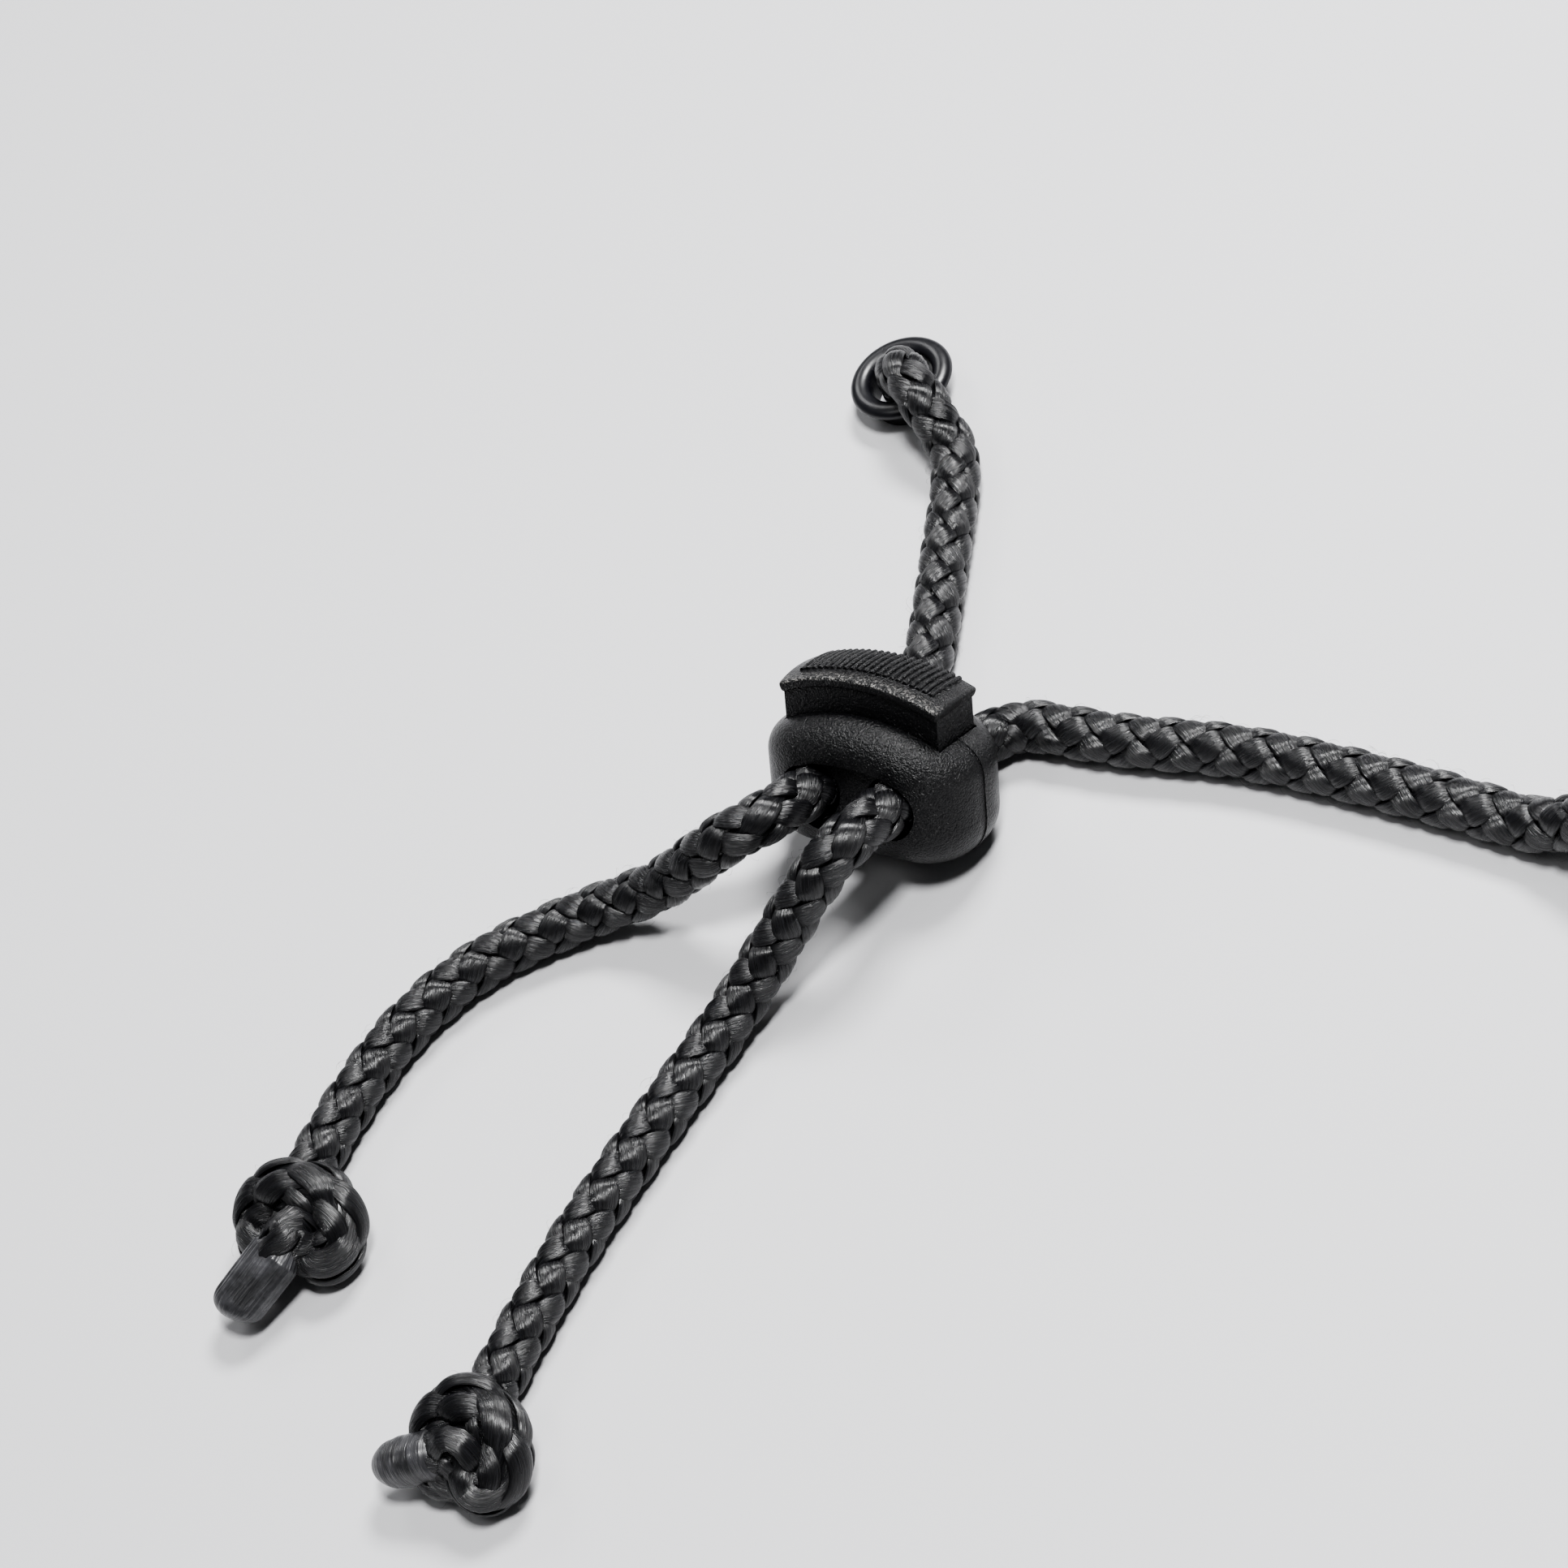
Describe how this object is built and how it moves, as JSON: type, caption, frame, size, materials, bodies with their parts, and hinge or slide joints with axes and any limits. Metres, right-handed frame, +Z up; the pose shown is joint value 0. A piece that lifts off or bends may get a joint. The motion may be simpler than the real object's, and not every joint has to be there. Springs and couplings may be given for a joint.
{
  "type": "two-hole cord lock with drawcord",
  "caption": "Spring-loaded cord lock with a sliding thumb plunger, threaded with a braided drawcord whose ends are knotted and whose leads enter round eyelets.",
  "frame": {"origin": "on the floor under the middle of the lock and its eyelets, measured without the cords", "axes": "+X across the two cord holes, +Y towards the leads, +Z up; the plunger slides along (0, 0.5, 0.866) because the lock leans back by 30 degrees"},
  "size_m": [0.0975, 0.1075, 0.0148],
  "materials": {
    "moulded_plastic": "satin black with fine spark-eroded grain",
    "plunger_plastic": "satin black with fine spark-eroded grain",
    "spring_steel": "drawn wire",
    "cord": "silky braided synthetic",
    "melted_cord": "melted and hardened braid",
    "eyelet_enamel": "gloss black enamel"
  },
  "bodies": {
    "lock_and_cord": {"housing": "moulded_plastic", "spring": "spring_steel", "pinch_left": "cord", "pinch_right": "cord", "tail_left": "cord", "tail_right": "cord", "lead_left": "cord", "lead_right": "cord", "knot_left": "cord", "knot_right": "cord", "tip_left": "melted_cord", "tip_right": "melted_cord", "eyelet_left": "eyelet_enamel", "eyelet_right": "eyelet_enamel"},
    "plunger": {"plunger": "plunger_plastic"}
  },
  "joints": [
    {"name": "plunger_slide", "type": "slide", "parent": "lock_and_cord", "child": "plunger", "axis": [0, 0.5, 0.866], "range_m": [-0.0018, 0], "stiffness_N_per_m": 900, "springref_m": 0.002, "deforming": ["spring"]}
  ]
}
